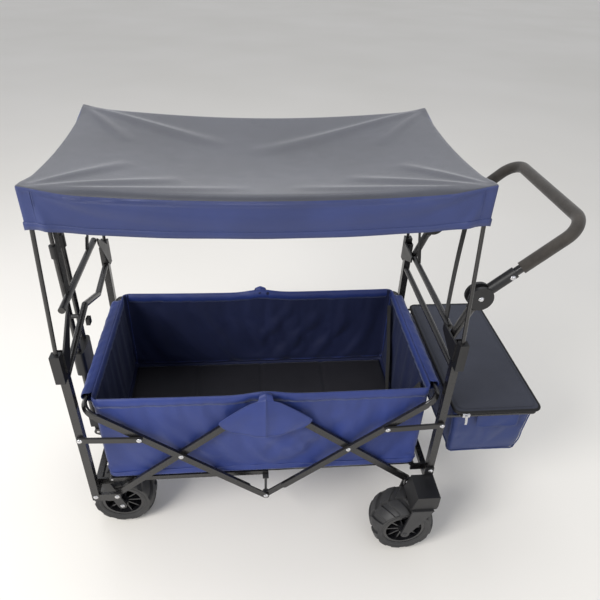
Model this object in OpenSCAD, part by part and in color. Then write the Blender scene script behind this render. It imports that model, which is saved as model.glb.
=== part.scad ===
// Folding wagon with a canopy, a push handle and a bag at the rear, and a pull handle at the front.
// X runs along the wagon, front at -X. Y runs across it, left at -Y. Z is up from the floor.
// A shape is drawn for the front end and the left side, then mirrored to the other end and side.

/* [Frame] */
// Distance between the front and rear post centres
post_span_x = 898; // [894:1:904]
// Distance between the left and right post centres
post_span_y = 474; // [474:1:480]
// Width of a square corner post
post_size = 19; // [17:1:19]
// Height of a post's lower end
post_low_z = 191; // [190:1:193]
// Height of a post's upper end
post_top_z = 690; // [686:1:694]

/* [Scissor] */
// Distance along X from a crossing rivet to the hubs
half_reach = 215; // [212:1:216]
// Height from a crossing rivet to a hub
half_rise = 173; // [170:1:175]
// Height of the crossing rivets
crossing_z = 345; // [343:1:348]
// Length of an inner bar below its crossing rivet
inner_tail = 230; // [228:1:231]
// Steepness of the bars when the wagon is folded
folded_angle = 79; // [76:1:80]

/* [Wheels] */
// Outside diameter of a tyre
tyre_d = 176; // [170:1:176]
// Width of a tyre
tyre_w = 94; // [86:1:94]
// Front axle, along X from the middle of the frame
front_axle_x = -405; // [-408:1:-402]
// Middle of a front wheel, across the wagon
front_wheel_y = 137; // [134:1:138]
// Rear axle, along X from the middle of the frame
rear_axle_x = 381; // [380:1:384]
// Middle of a rear wheel, across the wagon
rear_wheel_y = 277; // [277:1:279]

/* [Handles] */
// Reach of the push handle from its pivot
push_reach = 270; // [250:1:280]
// Slope of the push handle above level
push_slope = 42; // [35:1:45]
// Half of the distance between the push handle's arms
push_half_w = 187; // [186:1:188]
// Height of the push handle's pivot
push_pivot_z = 782; // [778:1:786]
// Height of the pull handle's grip
pull_grip_z = 905; // [895:1:910]

/* [Soft parts] */
// Length of the basket
basket_l = 824; // [810:1:824]
// Width of the basket
basket_w = 450; // [440:1:450]
// Height of the basket's upper edge
basket_top_z = 534; // [528:1:536]
// Length of the canopy
canopy_l = 880; // [876:1:884]
// Width of the canopy
canopy_w = 523; // [520:1:526]
// Height of the canopy's top
canopy_top_z = 1086; // [1084:1:1090]
// Depth of the canopy's hanging edge
canopy_drop = 98; // [90:1:105]

/* [Hidden] */
$fn = 48;

black = "#1d1d20";
grey = "#3a3a3e";
silver = "#d8d8da";
navy = "#2b3a68";
slate = "#454a5e";

// Fits and gaps
gap = 0.3;
run = 0.06;
post_x = post_span_x / 2;
post_y = post_span_y / 2;
post_in_y = post_y - post_size / 2;
post_out_y = post_y + post_size / 2;
post_in_x = post_x - post_size / 2;
post_out_x = post_x + post_size / 2;
tube_wall = 1.6;

// Scissor points [x, z], and the layers across the wagon that its bars lie in
bar_w = 18;
bar_angle = atan(half_rise / half_reach);
bar_dir = [cos(bar_angle), sin(bar_angle)];
half_bar = norm([half_reach, half_rise]);
crossing = [-half_reach, crossing_z];
top_hub = [0, crossing_z + half_rise];
low_hub = [0, crossing_z - half_rise];
inner_foot = crossing - inner_tail * bar_dir;
inner_y = 227.5;
inner_t = 9;
outer_y = 237.5;
outer_t = 8.5;
link_y = 248;
link_t = 6;
lap = 56;
lap_t = 4;
end_bend_r = 30;

// A link joins the outer bar to the post. Its post rivet is at the height at which the link
// spans the same distance with the wagon open and folded.
link_w = 15;
link_reach = 120.7;
link_tip = crossing + link_reach * [-bar_dir.x, bar_dir.y];
sin_sum = sin(folded_angle) + sin(bar_angle);
sin_step = sin(folded_angle) - sin(bar_angle);
cos_step = cos(folded_angle) - cos(bar_angle);
link_sum = inner_tail + link_reach;
link_diff = inner_tail - link_reach;
link_dx = -post_x - inner_foot.x;
link_rise = 2 * inner_tail * link_reach * sin_sum / link_sum
    - link_dx * link_diff * cos_step / (link_sum * sin_step);
link_root = [-post_x, inner_foot.y + link_rise];

// Rivets
rivet_d = 8;
rivet_head_d = 13;
rivet_head_h = 3;

// Base rails under the basket
rail_pivot = [-405, 243];
rail_w = 14;
rail_t = 8;
rail_front_y = 216;
rail_rear_y = 204;
rail_pin_d = 6;

// Crossbars
crossbar_d = 16;
upper_bar_half = 165;
front_upper_z = 750;
rear_lower_z = 605;
rear_upper_z = 678;
bottom_bar_z = post_low_z + post_size / 2 + 9;

// Canopy poles
pole_d = 9;
pole_low = [-post_x, -257, 668];
pole_high = [-426, -251, canopy_top_z - 6.5];
socket_size = 21;
socket_low_z = 625;
socket_h = 75;
strap_w = 22;
strap_t = 2;
strap_high_x = 432;
cloth = 3;

// Seat belts [y, z] on the basket's rear wall, and the hub covers' corners [x, z]
belt_w = 38;
belt_high = [209, 515];
belt_low = [69, 268];
flap_top = 100;
flap_tip = [116, 470];
flap_foot = [42, 420];

// Wheels
tyre_r = tyre_d / 2;
tyre_in_r = 58;
shoulder_r = 12;
rim_t = 8;
hub_r = 14;
axle_d = 8;
spokes = 10;
spoke_t = 4;
fork_t = 5;
fork_gap = 3.5;
fork_w = 24;
fork_half = tyre_w / 2 + fork_gap;
stem = [418, -rear_wheel_y];
stem_d = 16;
crown_low_z = tyre_d + 3.2;
crown_top_z = 187;
arm_top_z = crown_top_z - 2 * gap;
housing_low_z = 187.6;
housing_top_z = 236;
stem_h = 34;
crown_in_x = 388;
flange_out_y = post_out_y + gap + 5;
flange_top_z = 262;

// Push handle
push_pivot_x = 492;
push_tube_d = 20;
push_grip_d = 29;
push_bend_r = 50;
push_grip_from = 110;
push_hub_r = 30;
push_hub_half = 15;
tongue_r = 22;
tongue_half = 6.7;
arm_sleeve_d = 27;
arm_sleeve_end = 95;
tube_from = 45;
mount_foot = [450, 668];

// Pull handle
pull_x = -485;
pull_pivot_z = 217;
pull_half = 28;
pull_tube_d = 14;
pull_rod_d = 10;
pull_tube_low_z = 285;
pull_tube_top_z = 830;
pull_rod_low_z = 600;
pull_bend_z = pull_grip_z - 25;
pull_reach = 35;

// Storage bag
bag_in_x = 484;
bag_out_x = 697;
bag_half = 229;
bag_low_z = 290;
bag_top_z = 450;
bag_frame_half = 236;
bag_frame_x = 703;
lid_low_z = 453.5;
lid_t = 9;
lid_half = 241;
lid_out_x = 713;
bag_bend_r = 12;

// The grip's front and the lid's rear edge are the ends of the whole wagon. The frame's middle
// stands this far in front of the middle between them.
pull_grip_d = 24;
frame_shift = -(lid_out_x + pull_x - pull_reach - pull_grip_d / 2) / 2;

// ---- shared shapes ----

module placed() {
    translate([frame_shift, 0, 0]) children();
}

module both_sides() {
    children();
    mirror([0, 1, 0]) children();
}

module at_rear() {
    mirror([1, 0, 0]) children();
}

// A flat outline in X and Z, given a thickness t outward from the distance y on the left side
module side_plate(y, t) {
    translate([0, -y, 0]) rotate([90, 0, 0]) linear_extrude(t) children();
}

module slot2d(a, b, w) {
    d = b - a;
    translate(a) circle(d = w);
    translate(b) circle(d = w);
    translate(a) rotate(atan2(d.y, d.x)) translate([0, -w / 2]) square([norm(d), w]);
}

module side_pin(p, y, len, d) {
    translate([p.x, -y, p.y]) rotate([90, 0, 0]) cylinder(h = len, d = d);
}

// A domed head whose flat side lies at the distance y on the left side
module side_head(p, y) {
    ball_r = (pow(rivet_head_d / 2, 2) + pow(rivet_head_h, 2)) / (2 * rivet_head_h);
    translate([p.x, -y, p.y]) rotate([90, 0, 0]) intersection() {
        translate([0, 0, rivet_head_h - ball_r]) sphere(r = ball_r);
        cylinder(h = rivet_head_h + 1, d = rivet_head_d + 2);
    }
}

module rod(a, b, d) {
    v = b - a;
    translate(a) rotate([0, acos(v.z / norm(v)), atan2(v.y, v.x)]) cylinder(h = norm(v), d = d);
}

module bent_tube(points, d) {
    for (i = [0 : len(points) - 2]) rod(points[i], points[i + 1], d);
    for (i = [1 : len(points) - 2]) translate(points[i]) sphere(d = d);
}

module ring2d(outer, inner) {
    difference() {
        circle(d = outer);
        circle(d = inner);
    }
}

module rounded2d(l, w, r) {
    square([l - 2 * r, w], center = true);
    square([l, w - 2 * r], center = true);
    for (x = [-1, 1]) for (y = [-1, 1]) translate([x * (l / 2 - r), y * (w / 2 - r)]) circle(r = r);
}

// A U-shaped tube in the XY plane: two arms along X, two bends and a bar across at reach
module u_loop(start, reach, half_w, bend_r) {
    straight = reach - bend_r - start;
    both_sides() {
        translate([start, -half_w, 0]) rotate([90, 0, 90]) linear_extrude(straight) children();
        translate([reach - bend_r, bend_r - half_w, 0]) rotate([0, 0, -90])
            rotate_extrude(angle = 90) translate([bend_r, 0]) children();
    }
    translate([reach, half_w - bend_r, 0]) rotate([90, 0, 0])
        linear_extrude(2 * (half_w - bend_r)) children();
}

// ---- front and rear frames ----

module posts() {
    both_sides() translate([-post_x, -post_y, post_low_z])
        linear_extrude(post_top_z - post_low_z) difference() {
            square(post_size, center = true);
            square(post_size - 2 * tube_wall, center = true);
        }
}

module bottom_bar() {
    w = post_size - 3;
    translate([-post_x, 0, bottom_bar_z]) cube([w, 2 * post_in_y - 2 * gap, w], center = true);
}

module cross_tube(z, half) {
    rod([-post_x, -half, z], [-post_x, half, z], crossbar_d);
}

// Plate that carries the end of an upper crossbar, behind the post
module gusset(bar_z) {
    t = 4;
    tip_y = upper_bar_half - 7;
    low_z = post_top_z - 50;
    outline = [[post_out_y, low_z], [post_out_y, post_top_z], [tip_y, bar_z + 9],
        [tip_y, bar_z - 9], [post_in_y, low_z]];
    translate([gap - post_in_x, 0, 0]) rotate([90, 0, 90]) linear_extrude(t)
        polygon([for (p = outline) [-p.x, p.y]]);
}

// Socket on the outer side of a post for a canopy pole
module pole_socket() {
    y = post_out_y + gap;
    difference() {
        translate([-post_x - socket_size / 2, -y - socket_size, socket_low_z])
            cube([socket_size, socket_size, socket_h]);
        rod(pole_low, pole_high, pole_d + 2 * run);
    }
}

module bar_lug() {
    side_plate(post_in_y + 10, post_size - 10)
        difference() {
            translate([-post_in_x + gap, 188.6]) square([inner_foot.x + 9 + post_in_x, 24]);
            translate(inner_foot) circle(d = rivet_d + 2 * run);
        }
}

module rail_lug(y) {
    side_plate(y, 5) difference() {
        union() {
            translate([-post_x - 8, bottom_bar_z + 8 + gap]) square([52, 22]);
            translate(rail_pivot) circle(r = rail_w / 2 + 0.5);
        }
        translate(rail_pivot) circle(d = rail_pin_d + 2 * run);
    }
}

module end_rivets(rail_lug_y, rail_low_y, low_head_y, low_head_z) {
    foot_pin = post_out_y - inner_y + 1.5;
    both_sides() {
        side_pin(inner_foot, inner_y - 1.5, foot_pin, rivet_d);
        side_head(inner_foot, post_out_y + gap);
        side_pin(link_root, post_out_y + gap / 2, link_y + link_t - post_out_y, rivet_d);
        side_head(link_root, link_y + link_t + gap);
        side_head([-post_x, low_head_z], low_head_y);
        side_pin(rail_pivot, min(rail_lug_y, rail_low_y), 5 + rail_t + 2 * gap, rail_pin_d);
    }
}

module canopy_pole() {
    rod(pole_low, pole_high, pole_d);
}

// Webbing that ties the canopy down to an upper crossbar, from half-width low_y out to high_y
module canopy_strap(bar_z, low_y, high_y) {
    low_z = bar_z + crossbar_d / 2 + 1;
    rise = canopy_top_z - cloth - 4 - low_z;
    translate([-post_x, -low_y - strap_w / 2, low_z])
        rotate([atan((high_y - low_y) / rise), atan((post_x - strap_high_x) / rise), 0])
            cube([strap_t, strap_w, rise]);
}

module front_posts() {
    placed() color(black) posts();
}

module front_crossbars() {
    jog_end = post_in_y - 2.2;
    jog = [[-jog_end, 612], [-10, 660], [110, 612], [jog_end, 632]];
    placed() color(black) {
        bottom_bar();
        cross_tube(front_upper_z, upper_bar_half);
        bent_tube([for (p = jog) [-post_x, p.x, p.y]], crossbar_d);
    }
}

module front_brackets() {
    placed() color(black) both_sides() {
        gusset(front_upper_z);
        pole_socket();
    }
}

// Lugs for the bars and rails, and the yoke that carries the pull handle
module front_lugs() {
    yoke_t = 6;
    yoke_y = 22;
    yoke_from = [-post_x - 8.3, bottom_bar_z];
    placed() color(black) both_sides() {
        bar_lug();
        rail_lug(rail_front_y - 5 - gap);
        side_plate(yoke_y, yoke_t) difference() {
            slot2d(yoke_from - [11, 0], [pull_x, pull_pivot_z], 22);
            translate([-post_x - 8.3, 0]) square([40, 400]);
            translate([pull_x, pull_pivot_z]) circle(d = rivet_d + 2 * run);
        }
    }
}

module front_rivets() {
    placed() color(silver) {
        end_rivets(rail_front_y - 5 - gap, rail_front_y - 5 - gap, post_out_y + gap / 2,
            post_low_z + 12);
        translate([pull_x, 28, pull_pivot_z]) rotate([90, 0, 0]) cylinder(h = 56, d = rivet_d);
    }
}

module canopy_poles_front() {
    placed() color(black) both_sides() canopy_pole();
}

module canopy_straps_front() {
    placed() color(black) both_sides() canopy_strap(front_upper_z, 100, 171);
}

module rear_posts() {
    placed() color(black) at_rear() posts();
}

module rear_crossbars() {
    placed() color(black) at_rear() {
        bottom_bar();
        cross_tube(rear_lower_z, post_in_y - gap);
        cross_tube(rear_upper_z, upper_bar_half);
    }
}

module rear_brackets() {
    placed() color(black) at_rear() both_sides() {
        gusset(rear_upper_z);
        pole_socket();
    }
}

module rear_lugs() {
    placed() color(black) at_rear() both_sides() {
        bar_lug();
        rail_lug(rail_rear_y + rail_t + gap);
    }
}

module rear_rivets() {
    placed() color(silver) at_rear() end_rivets(rail_rear_y + rail_t + gap, rail_rear_y - gap,
        flange_out_y + gap / 2, flange_top_z - 12);
}

module canopy_poles_rear() {
    placed() color(black) at_rear() both_sides() canopy_pole();
}

module canopy_straps_rear() {
    placed() color(black) at_rear() both_sides() canopy_strap(rear_upper_z, 130, 186);
}

// ---- scissor sides ----

// Inner bar from the post foot up to the top hub, flattened where it laps its partner
module inner_bar(lap_y) {
    thick_end = top_hub - (lap + 9) * bar_dir;
    both_sides() difference() {
        union() {
            side_plate(inner_y, inner_t) slot2d(inner_foot, thick_end, bar_w);
            side_plate(lap_y, lap_t) slot2d(thick_end, top_hub, bar_w);
        }
        for (p = [inner_foot, crossing, top_hub])
            side_pin(p, inner_y - 1, inner_t + 2, rivet_d + 2 * run);
    }
}

// Outer bars and the tube across the basket's end, bent from one oval tube
module outer_frame(lap_y, hub_hole_d) {
    reach = 2 * half_bar;
    side_from = reach - end_bend_r - 10;
    side_end = low_hub + side_from * [-bar_dir.x, bar_dir.y];
    thick_start = low_hub + (lap + 9) * [-bar_dir.x, bar_dir.y];
    difference() {
        union() {
            both_sides() {
                side_plate(outer_y, outer_t) slot2d(thick_start, side_end, bar_w);
                side_plate(lap_y, lap_t) slot2d(low_hub, thick_start, bar_w);
            }
            translate([0, 0, low_hub.y]) rotate([0, bar_angle - 180, 0])
                u_loop(side_from, reach, outer_y + outer_t / 2, end_bend_r) {
                    square([outer_t, bar_w - outer_t], center = true);
                    for (s = [-1, 1]) translate([0, s * (bar_w - outer_t) / 2]) circle(d = outer_t);
                }
        }
        both_sides() {
            side_pin(crossing, outer_y - 1, outer_t + 2, rivet_d + 2 * run);
            side_pin(low_hub, outer_y - 1, outer_t + 2, hub_hole_d);
        }
    }
}

module crossing_rivet() {
    side_pin(crossing, inner_y - 0.5, outer_y + outer_t - inner_y + 0.5, rivet_d);
    side_head(crossing, outer_y + outer_t + gap);
}

module inner_bars_front() {
    placed() color(black) inner_bar(inner_y + inner_t - lap_t);
}

module inner_bars_rear() {
    placed() color(black) at_rear() inner_bar(inner_y);
}

module scissor_rivets_front() {
    placed() color(silver) both_sides() {
        crossing_rivet();
        side_pin(top_hub, inner_y - 0.5, inner_t + 1, rivet_d);
        side_head(top_hub, inner_y + inner_t + gap);
    }
}

module scissor_rivets_rear() {
    placed() color(silver) at_rear() both_sides() crossing_rivet();
}

module outer_frame_front() {
    placed() color(black) outer_frame(outer_y + outer_t - lap_t, rivet_d + 2 * run);
}

module outer_frame_rear() {
    placed() color(black) at_rear() outer_frame(outer_y, rivet_d + 2 * gap);
}

module hub_rivets() {
    placed() color(silver) both_sides() {
        side_pin(low_hub, inner_y, outer_y + outer_t - inner_y + gap, rivet_d);
        side_head(low_hub, outer_y + outer_t + gap);
    }
}

// Upright pins on the lower hubs, with the shelf that the base rails rest on
module hub_pins() {
    shelf_z = rail_pivot.y - rail_w / 2 - 3.5;
    pin_y = inner_y + 4;
    placed() color(grey) both_sides() difference() {
        union() {
            side_pin(low_hub, inner_y, inner_t - 1, 17);
            translate([0, -pin_y, low_hub.y]) cylinder(h = shelf_z - low_hub.y + 1, d = 7);
            translate([-8, -pin_y - 4, shelf_z]) cube([16, pin_y + 4 - rail_rear_y, 3]);
        }
        side_pin(low_hub, inner_y - 1, inner_t + 2, rivet_d + 2 * run);
    }
}

module link_arm() {
    side_plate(link_y, link_t) difference() {
        slot2d(link_root, link_tip, link_w);
        translate(link_root) circle(d = rivet_d + 2 * run);
        translate(link_tip) circle(d = rivet_d + 2 * run);
    }
}

module link_rivet() {
    side_pin(link_tip, link_y - 0.7, link_t + 0.7 + gap / 2, rivet_d);
    side_head(link_tip, link_y + link_t + gap);
}

module link_arms_front() {
    placed() color(grey) both_sides() link_arm();
}

module link_arms_rear() {
    placed() color(grey) at_rear() both_sides() link_arm();
}

module link_rivets_front() {
    placed() color(silver) both_sides() link_rivet();
}

module link_rivets_rear() {
    placed() color(silver) at_rear() both_sides() link_rivet();
}

module base_rail(y) {
    both_sides() side_plate(y, rail_t) difference() {
        slot2d(rail_pivot, [0, rail_pivot.y], rail_w);
        translate(rail_pivot) circle(d = rail_pin_d + 2 * run);
    }
}

module base_rails_front() {
    placed() color(black) base_rail(rail_front_y);
}

module base_rails_rear() {
    placed() color(black) at_rear() base_rail(rail_rear_y);
}

// ---- soft parts ----

// Open shell with upright walls and rounded corners, closed at its lower end
module soft_box(l, w, h, r) {
    difference() {
        linear_extrude(h) rounded2d(l, w, r);
        translate([0, 0, cloth]) linear_extrude(h) rounded2d(l - 2 * cloth, w - 2 * cloth, r - cloth);
    }
}

module canopy_fabric() {
    placed() color(slate) translate([0, 0, canopy_top_z]) mirror([0, 0, 1])
        soft_box(canopy_l, canopy_w, canopy_drop, 8);
}

module basket_fabric() {
    low = rail_pivot.y + rail_w / 2 + 1;
    placed() color(navy) translate([0, 0, low]) soft_box(basket_l, basket_w, basket_top_z - low, 20);
}

module floor_mat() {
    low = rail_pivot.y + rail_w / 2 + 1 + cloth + gap;
    placed() color(black) translate([0, 0, low]) linear_extrude(7)
        rounded2d(basket_l - 24, basket_w - 24, 20);
}

// Cloth covers over the top hubs
module hub_flaps() {
    flap_y = outer_y + 5;
    placed() color(navy) both_sides() side_plate(flap_y, cloth)
        polygon([[-flap_top, basket_top_z - 8], [flap_top, basket_top_z - 8], [flap_tip.x, flap_tip.y],
            [flap_foot.x, flap_foot.y], [-flap_foot.x, flap_foot.y], [-flap_tip.x, flap_tip.y]]);
}

module seat_belts() {
    x = basket_l / 2 - cloth - strap_t - 2;
    placed() color(black) both_sides() translate([x, 0, 0]) rotate([90, 0, 90]) linear_extrude(strap_t)
        polygon([[-belt_high[0], belt_high[1]], [belt_w - belt_high[0], belt_high[1]],
            [belt_w - belt_low[0], belt_low[1]], [-belt_low[0], belt_low[1]]]);
}

// ---- wheels ----

module tyre() {
    half = tyre_w / 2;
    rotate([90, 0, 0]) rotate_extrude($fn = 96) {
        translate([tyre_in_r, -half]) square([tyre_r - shoulder_r - tyre_in_r, tyre_w]);
        translate([tyre_in_r, shoulder_r - half]) square([tyre_r - tyre_in_r, tyre_w - 2 * shoulder_r]);
        for (s = [-1, 1]) translate([tyre_r - shoulder_r, s * (half - shoulder_r)]) circle(r = shoulder_r);
    }
}

module rim() {
    depth = tyre_w - 12;
    rotate([90, 0, 0]) difference() {
        union() {
            translate([0, 0, -depth / 2]) linear_extrude(depth)
                ring2d(2 * tyre_in_r - 2 * run, 2 * (tyre_in_r - rim_t));
            cylinder(h = tyre_w - 2, r = hub_r, center = true);
            for (i = [0 : spokes - 1]) rotate(i * 360 / spokes)
                translate([hub_r - 2, -spoke_t / 2, 6 - depth / 2])
                    cube([tyre_in_r - rim_t - hub_r + 4, spoke_t, depth - 12]);
        }
        cylinder(h = tyre_w, d = axle_d + 2 * run, center = true);
    }
}

module front_wheel_place(side) {
    placed() translate([front_axle_x, side * front_wheel_y, tyre_r]) children();
}

module rear_wheel_place(side) {
    placed() translate([rear_axle_x, side * rear_wheel_y, tyre_r]) children();
}

// Axle bolt across a fork, with domed ends
module axle_bolt() {
    len = 2 * fork_half + 2 * fork_t + 1;
    rotate([90, 0, 0]) cylinder(h = len, d = axle_d, center = true);
    both_sides() side_head([0, 0], len / 2);
}

// Two plates that slant down from the bottom crossbar to the axle
module front_forks() {
    top = [-post_x + 12, bottom_bar_z - 8 - gap];
    placed() color(grey) both_sides() for (s = [-1, 1])
        side_plate(front_wheel_y + s * (fork_half + fork_t / 2) - fork_t / 2, fork_t) difference() {
            union() {
                slot2d(top - [0, fork_w / 2 + 3], [front_axle_x, tyre_r], fork_w);
                translate([top.x - 14, top.y - 14]) square([28, 14]);
            }
            translate([front_axle_x, tyre_r]) circle(d = axle_d + 2 * run);
        }
}

module front_axle_bolts() {
    for (s = [-1, 1]) color(silver) front_wheel_place(s) axle_bolt();
}

module front_tyre_left() {
    color(black) front_wheel_place(-1) tyre();
}

module front_tyre_right() {
    color(black) front_wheel_place(1) tyre();
}

module front_rim_left() {
    color(grey) front_wheel_place(-1) rim();
}

module front_rim_right() {
    color(grey) front_wheel_place(1) rim();
}

module rear_tyre_left() {
    color(black) rear_wheel_place(-1) tyre();
}

module rear_tyre_right() {
    color(black) rear_wheel_place(1) tyre();
}

module rear_rim_left() {
    color(grey) rear_wheel_place(-1) rim();
}

module rear_rim_right() {
    color(grey) rear_wheel_place(1) rim();
}

// Block on the outer side of a rear post, which holds the caster's stem. It stands clear of the
// bar's foot rivet, and its flange is riveted to the post.
module caster_housings() {
    front_x = crown_in_x - 4;
    rear_x = post_out_x - 0.5;
    block_y = flange_out_y - 1.5;
    placed() color(black) both_sides() difference() {
        union() {
            side_plate(block_y, rear_wheel_y + fork_half - block_y)
                polygon([[front_x, housing_low_z], [rear_x - 4, housing_low_z], [rear_x, housing_low_z + 12],
                    [rear_x, housing_top_z], [front_x + 14, housing_top_z]]);
            side_plate(post_out_y + gap, flange_out_y - post_out_y - gap)
                polygon([[rear_x - 24, housing_low_z], [rear_x, housing_low_z], [rear_x, flange_top_z],
                    [rear_x - 18, flange_top_z], [rear_x - 24, flange_top_z - 12]]);
        }
        translate([stem.x, stem.y, housing_low_z - 1]) cylinder(h = stem_h + 1, d = stem_d + 2 * run);
    }
}

// Swivelling fork: a stem, a crown over the wheel and two arms down to the axle bolt
module caster_fork() {
    crown_l = 2 * (stem.x - crown_in_x);
    arm_w = 2 * fork_half + fork_t;
    axle = [rear_axle_x, tyre_r];
    placed() {
        translate([stem.x, stem.y, crown_top_z]) cylinder(h = stem_h, d = stem_d);
        difference() {
            union() {
                translate([crown_in_x + 1, stem.y - arm_w / 2, crown_low_z])
                    cube([crown_l - 2, arm_w, crown_top_z - crown_low_z - gap]);
                for (s = [-1, 1]) side_plate(rear_wheel_y + (s * arm_w - fork_t) / 2, fork_t) {
                    translate(axle) circle(d = fork_w);
                    polygon([[crown_in_x, arm_top_z], [crown_in_x + crown_l, arm_top_z],
                        [stem.x + 6, crown_low_z - 40], axle + [fork_w / 2 - 1, 2],
                        axle + [1 - fork_w / 2, 2]]);
                }
            }
            side_pin(axle, 0, 2 * rear_wheel_y, axle_d + 2 * run);
        }
        translate([axle.x, -rear_wheel_y, axle.y]) axle_bolt();
    }
}

module caster_fork_left() {
    color(grey) caster_fork();
}

module caster_fork_right() {
    color(grey) mirror([0, 1, 0]) caster_fork();
}

// ---- push handle ----

module push_place() {
    placed() translate([push_pivot_x, 0, push_pivot_z]) rotate([0, -push_slope, 0]) children();
}

// Necks on the rear frame, each with a tongue that the handle's clevis turns on
module handle_mounts() {
    pivot = [push_pivot_x, push_pivot_z];
    down = (mount_foot - pivot) / norm(mount_foot - pivot);
    neck_top = pivot + 34 * down;
    placed() color(black) both_sides() difference() {
        union() {
            rod([mount_foot.x, -push_half_w, mount_foot.y], [neck_top.x, -push_half_w, neck_top.y],
                push_tube_d);
            side_plate(push_half_w - tongue_half, 2 * tongue_half) {
                slot2d(pivot, neck_top, push_tube_d);
                translate(pivot) circle(r = tongue_r);
            }
        }
        side_pin(pivot, push_half_w - 20, 40, rivet_d + 2 * run);
    }
}

// Clevis hubs with the sleeves that hold the bent tube
module push_handle_arms() {
    push_place() color(black) both_sides() translate([0, -push_half_w, 0]) difference() {
        union() {
            rotate([90, 0, 0]) cylinder(h = 2 * push_hub_half, r = push_hub_r, center = true, $fn = 72);
            translate([10, 0, 0]) rotate([0, 90, 0]) cylinder(h = arm_sleeve_end - 10, d = arm_sleeve_d);
        }
        rotate([90, 0, 0]) cylinder(h = 2 * tongue_half + 2 * gap, r = push_hub_r + 2, center = true);
        rotate([90, 0, 0]) cylinder(h = 3 * push_hub_half, d = rivet_d + 2 * run, center = true);
        translate([tube_from, 0, 0]) rotate([0, 90, 0])
            cylinder(h = arm_sleeve_end, d = push_tube_d + 2 * run);
    }
}

module push_handle_tube() {
    push_place() color(black) u_loop(tube_from + gap, push_reach, push_half_w, push_bend_r)
        ring2d(push_tube_d, push_tube_d - 2 * tube_wall);
}

module push_handle_grip() {
    push_place() color(grey) u_loop(push_grip_from, push_reach, push_half_w, push_bend_r)
        ring2d(push_grip_d, push_tube_d + 2 * run);
}

module push_handle_rivets() {
    push_place() color(silver) both_sides() translate([0, -push_half_w, 0]) {
        rotate([90, 0, 0]) cylinder(h = 2 * push_hub_half, d = rivet_d, center = true);
        side_head([0, 0], push_hub_half + gap / 2);
        side_head([arm_sleeve_end - 12, 0], arm_sleeve_d / 2 + gap / 2);
    }
}

// ---- pull handle ----

module pull_pair(z, h) {
    placed() for (s = [-1, 1]) translate([pull_x, s * pull_half, z]) linear_extrude(h) children();
}

module pull_handle_tubes() {
    color(black) pull_pair(pull_tube_low_z, pull_tube_top_z - pull_tube_low_z)
        ring2d(pull_tube_d, pull_rod_d + 2 * run);
}

// Foot on the pivot, lock housing round both tubes, and the ferrules at their tops
module pull_handle_collars() {
    foot_y = 21.5;
    lock_z = 450;
    lock_h = 74;
    tube_hole = pull_tube_d + 2 * run;
    color(black) {
        placed() difference() {
            union() {
                translate([pull_x, foot_y, pull_pivot_z]) rotate([90, 0, 0])
                    cylinder(h = 2 * foot_y, r = 11);
                translate([pull_x - 9, -foot_y, pull_pivot_z]) cube([18, 2 * foot_y, 40]);
                translate([pull_x - 12, -40, 252]) cube([24, 80, 48]);
            }
            translate([pull_x, 40, pull_pivot_z]) rotate([90, 0, 0]) cylinder(h = 80, d = rivet_d + 2 * run);
            for (s = [-1, 1]) translate([pull_x, s * pull_half, pull_tube_low_z - gap])
                cylinder(h = 40, d = tube_hole);
        }
        placed() difference() {
            translate([pull_x, 0, lock_z]) linear_extrude(lock_h) rounded2d(30, 2 * pull_half + 28, 10);
            for (s = [-1, 1]) translate([pull_x, s * pull_half, lock_z - 1])
                cylinder(h = lock_h + 2, d = tube_hole);
        }
        pull_pair(pull_tube_top_z - 22, 22) ring2d(21, tube_hole);
        pull_pair(pull_tube_top_z, 10) ring2d(21, pull_rod_d + 2 * run);
    }
}

module pull_handle_loop() {
    rise = pull_grip_z - pull_bend_z;
    low = [pull_x, -pull_half, pull_rod_low_z];
    placed() color(black) {
        both_sides() {
            rod(low, [pull_x, -pull_half, pull_bend_z], pull_rod_d);
            translate([pull_x, -pull_half, pull_bend_z]) sphere(d = pull_rod_d);
        }
        translate([pull_x, 0, pull_bend_z]) rotate([0, 180 + atan(rise / pull_reach), 0])
            u_loop(0, norm([pull_reach, rise]), pull_half, 12) circle(d = pull_rod_d);
    }
}

module pull_handle_grip() {
    placed() color(grey) translate([pull_x - pull_reach, pull_half - 13, pull_grip_z]) rotate([90, 0, 0])
        linear_extrude(2 * pull_half - 26) ring2d(pull_grip_d, pull_rod_d + 2 * run);
}

// Knob and peg on the lower crossbar that clip the pull handle upright
module handle_clip() {
    y = -46;
    z = 650;
    placed() color(black) {
        translate([-441, y - 9, z - 23]) cube([9.5, 18, 18]);
        translate([-457.3, y, z]) rotate([0, -90, 0]) cylinder(h = 18, d = 11);
    }
}

// ---- storage bag ----

module bag_outline(inset) {
    polygon([[bag_in_x + inset, bag_top_z + inset], [bag_in_x + 10 + inset, bag_low_z + inset],
        [bag_out_x - 22 - inset, bag_low_z + inset], [bag_out_x - inset, bag_top_z + inset]]);
}

module bag_body() {
    placed() color(navy) difference() {
        side_plate(-bag_half, 2 * bag_half) bag_outline(0);
        side_plate(cloth - bag_half, 2 * (bag_half - cloth)) bag_outline(cloth);
    }
}

// Hoop fixed to the rear posts, which the bag hangs in
module bag_frame() {
    placed() color(black) translate([0, 0, 445])
        u_loop(post_out_x + gap, bag_frame_x, bag_frame_half, bag_bend_r) circle(d = 7);
}

module bag_zip() {
    ring_w = 13;
    low = 450.4;
    l = lid_out_x - bag_in_x + 2;
    placed() color(black) translate([lid_out_x - l / 2, 0, low]) linear_extrude(lid_low_z - gap - low)
        difference() {
            rounded2d(l, 2 * lid_half, 14);
            rounded2d(l - 2 * ring_w, 2 * (lid_half - ring_w), 6);
        }
}

module bag_lid() {
    l = lid_out_x - bag_in_x + 2;
    placed() color(slate) translate([lid_out_x - l / 2, 0, lid_low_z]) linear_extrude(lid_t)
        rounded2d(l, 2 * lid_half, 14);
}

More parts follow.
